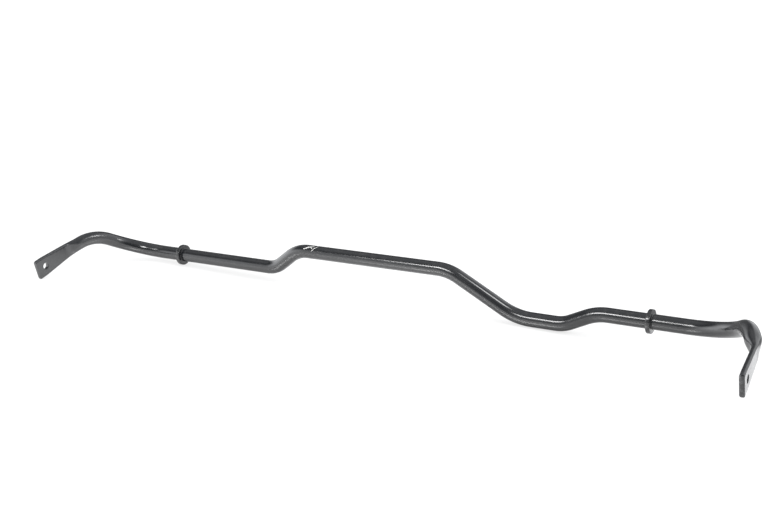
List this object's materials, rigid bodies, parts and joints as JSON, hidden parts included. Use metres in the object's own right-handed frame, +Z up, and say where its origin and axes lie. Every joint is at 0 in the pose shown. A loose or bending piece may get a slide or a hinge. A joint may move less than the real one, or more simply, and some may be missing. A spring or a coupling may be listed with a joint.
{
  "type": "sway bar",
  "caption": "Bent round torsion bar with forged flat drilled ends, a stepped middle, a low stretch and a plain retaining collar near each end.",
  "frame": {"origin": "under the middle of the outline, on the surface that the bar lies on", "axes": "+X along the bushing line to the end that rests higher, -Y to where the two arms point, +Z up"},
  "size_m": [1.1592, 0.2072, 0.0836],
  "materials": {
    "bar_coat": "semi-gloss black powder coat",
    "collar_coat": "semi-gloss black powder coat"
  },
  "bodies": {
    "root": {"bar": "bar_coat", "collar_left": "collar_coat", "collar_right": "collar_coat"}
  },
  "joints": []
}
